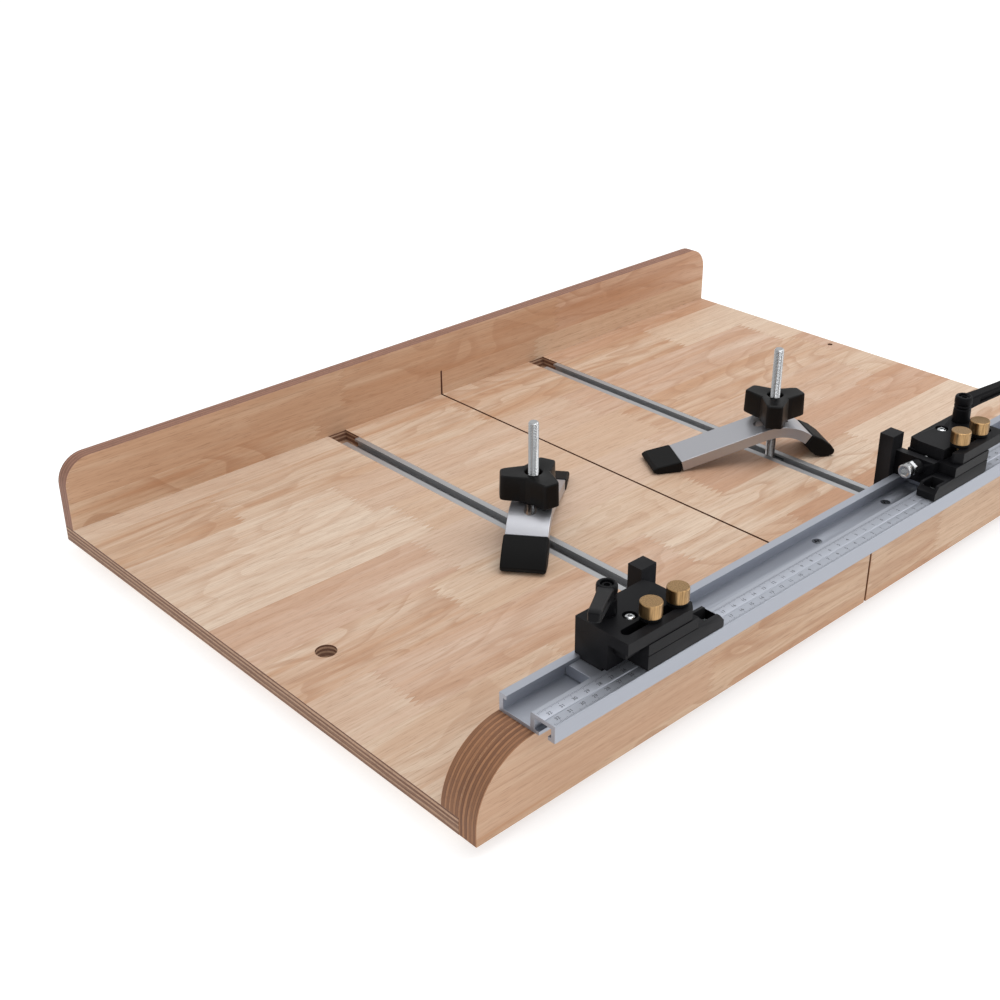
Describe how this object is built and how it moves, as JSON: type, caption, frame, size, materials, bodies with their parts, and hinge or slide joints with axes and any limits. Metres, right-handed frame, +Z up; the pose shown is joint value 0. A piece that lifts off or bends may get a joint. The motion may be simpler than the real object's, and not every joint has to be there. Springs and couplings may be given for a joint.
{
  "type": "crosscut sled",
  "caption": "Plywood table-saw crosscut sled with a scaled aluminium fence track, fine-adjusting end stops, T-tracks with hold-down clamps, and a low back fence.",
  "frame": {"origin": "middle of the bounding box, on the plane the two runners stand on", "axes": "+X along the fences, +Y from the front fence to the back fence, +Z up"},
  "size_m": [0.74, 0.4906, 0.1314],
  "materials": {
    "base_ply": "satin",
    "fence_ply": "satin",
    "anodised_aluminium": "satin",
    "bar_aluminium": "satin",
    "bright_steel": "bright",
    "black_anodised": "satin",
    "clear_lens": "clear",
    "brass": "brushed",
    "black_rubber": "matte",
    "black_plastic": "matte"
  },
  "bodies": {
    "base": {"base_panel_left": "base_ply", "base_panel_right": "base_ply", "front_fence_inner": "fence_ply", "front_fence_outer": "fence_ply", "back_fence": "fence_ply", "fence_screws": "bright_steel", "fence_track": "anodised_aluminium", "fence_track_screws": "bright_steel", "t_track_left": "anodised_aluminium", "t_track_right": "anodised_aluminium", "t_track_screws": "bright_steel", "runner_left": "anodised_aluminium", "runner_right": "anodised_aluminium", "runner_screws": "bright_steel"},
    "left_carriage": {"left_carriage_block": "black_anodised", "left_top_plate": "black_anodised", "left_plate_screws": "bright_steel", "left_slider_plate": "anodised_aluminium"},
    "left_lever": {"left_lever_stud": "bright_steel", "left_clamp_lever": "black_anodised"},
    "left_arm": {"left_stop_arm": "black_anodised", "left_cursor_lens": "clear_lens"},
    "left_inner_knob": {"left_knob_inner": "brass", "left_collar_inner": "black_plastic"},
    "left_outer_knob": {"left_knob_outer": "brass", "left_collar_outer": "black_plastic"},
    "left_adjuster": {"left_adjust_screw": "bright_steel", "left_adjust_nut": "bright_steel"},
    "right_carriage": {"right_carriage_block": "black_anodised", "right_top_plate": "black_anodised", "right_plate_screws": "bright_steel", "right_slider_plate": "anodised_aluminium"},
    "right_lever": {"right_lever_stud": "bright_steel", "right_clamp_lever": "black_anodised"},
    "right_arm": {"right_stop_arm": "black_anodised", "right_cursor_lens": "clear_lens"},
    "right_inner_knob": {"right_knob_inner": "brass", "right_collar_inner": "black_plastic"},
    "right_outer_knob": {"right_knob_outer": "brass", "right_collar_outer": "black_plastic"},
    "right_adjuster": {"right_adjust_screw": "bright_steel", "right_adjust_nut": "bright_steel"},
    "left_bolt": {"left_t_bolt": "bright_steel"},
    "left_washer": {"left_clamp_washer": "black_plastic"},
    "left_bar": {"left_clamp_bar": "bar_aluminium", "left_toe_pad": "black_rubber", "left_heel_pad": "black_rubber"},
    "left_star": {"left_star_knob": "black_plastic", "left_knob_insert": "brass"},
    "right_bolt": {"right_t_bolt": "bright_steel"},
    "right_washer": {"right_clamp_washer": "black_plastic"},
    "right_bar": {"right_clamp_bar": "bar_aluminium", "right_toe_pad": "black_rubber", "right_heel_pad": "black_rubber"},
    "right_star": {"right_star_knob": "black_plastic", "right_knob_insert": "brass"}
  },
  "joints": [
    {"name": "left_stop_slide", "type": "slide", "parent": "base", "child": "left_carriage", "axis": [1, 0, 0], "range_m": [-0.045, 0.11]},
    {"name": "left_lever_swing", "type": "hinge", "parent": "left_carriage", "child": "left_lever", "pos_m": [-0.251, -0.21215, 0.104], "axis": [0, 0, 1], "range_deg": [0, 90]},
    {"name": "left_arm_slide", "type": "slide", "parent": "left_carriage", "child": "left_arm", "axis": [1, 0, 0], "range_m": [0, 0.005]},
    {"name": "left_adjust_turn", "type": "hinge", "parent": "left_arm", "child": "left_adjuster", "pos_m": [-0.206, -0.21775, 0.0915], "axis": [1, 0, 0], "range_deg": [0, 1801]},
    {"name": "left_inner_knob_turn", "type": "hinge", "parent": "left_arm", "child": "left_inner_knob", "pos_m": [-0.2369, -0.23425, 0.104], "axis": [0, 0, 1], "range_deg": [0, 540]},
    {"name": "left_outer_knob_turn", "type": "hinge", "parent": "left_arm", "child": "left_outer_knob", "pos_m": [-0.2134, -0.23425, 0.104], "axis": [0, 0, 1], "range_deg": [0, 540]},
    {"name": "right_stop_slide", "type": "slide", "parent": "base", "child": "right_carriage", "axis": [1, 0, 0], "range_m": [-0.11, 0.165]},
    {"name": "right_lever_swing", "type": "hinge", "parent": "right_carriage", "child": "right_lever", "pos_m": [0.1312, -0.21215, 0.104], "axis": [0, 0, 1], "range_deg": [0, 90]},
    {"name": "right_arm_slide", "type": "slide", "parent": "right_carriage", "child": "right_arm", "axis": [-1, 0, 0], "range_m": [-0.0038, 0.0012]},
    {"name": "right_adjust_turn", "type": "hinge", "parent": "right_arm", "child": "right_adjuster", "pos_m": [0.0787, -0.21775, 0.0915], "axis": [-1, 0, 0], "range_deg": [-1369, 433]},
    {"name": "right_inner_knob_turn", "type": "hinge", "parent": "right_arm", "child": "right_inner_knob", "pos_m": [0.1183, -0.23425, 0.104], "axis": [0, 0, 1], "range_deg": [0, 540]},
    {"name": "right_outer_knob_turn", "type": "hinge", "parent": "right_arm", "child": "right_outer_knob", "pos_m": [0.0933, -0.23425, 0.104], "axis": [0, 0, 1], "range_deg": [0, 540]},
    {"name": "left_clamp_slide", "type": "slide", "parent": "base", "child": "left_bolt", "axis": [0, 1, 0], "range_m": [-0.11, 0.135]},
    {"name": "left_clamp_lift", "type": "slide", "parent": "left_bolt", "child": "left_washer", "axis": [0, 0, 1], "range_m": [0, 0.02]},
    {"name": "left_bar_swing", "type": "hinge", "parent": "left_washer", "child": "left_bar", "pos_m": [-0.1188, -0.01375, 0.053], "axis": [0, 0, 1], "range_deg": [-38, 141]},
    {"name": "left_star_turn", "type": "hinge", "parent": "left_washer", "child": "left_star", "pos_m": [-0.1188, -0.01375, 0.059], "axis": [0, 0, 1], "range_deg": [0, 5762]},
    {"name": "right_clamp_slide", "type": "slide", "parent": "base", "child": "right_bolt", "axis": [0, 1, 0], "range_m": [-0.077, 0.172]},
    {"name": "right_clamp_lift", "type": "slide", "parent": "right_bolt", "child": "right_washer", "axis": [0, 0, 1], "range_m": [0, 0.02]},
    {"name": "right_bar_swing", "type": "hinge", "parent": "right_washer", "child": "right_bar", "pos_m": [0.1222, -0.05075, 0.053], "axis": [0, 0, 1], "range_deg": [-149, 30]},
    {"name": "right_star_turn", "type": "hinge", "parent": "right_washer", "child": "right_star", "pos_m": [0.1222, -0.05075, 0.059], "axis": [0, 0, 1], "range_deg": [0, 5762]}
  ],
  "couplings": [
    {"joint": "left_adjust_turn", "follows": "left_arm_slide", "rad_per_m": 6283.2},
    {"joint": "right_adjust_turn", "follows": "right_arm_slide", "rad_per_m": 6283.2},
    {"joint": "left_star_turn", "follows": "left_clamp_lift", "rad_per_m": 5026.5},
    {"joint": "right_star_turn", "follows": "right_clamp_lift", "rad_per_m": 5026.5}
  ]
}
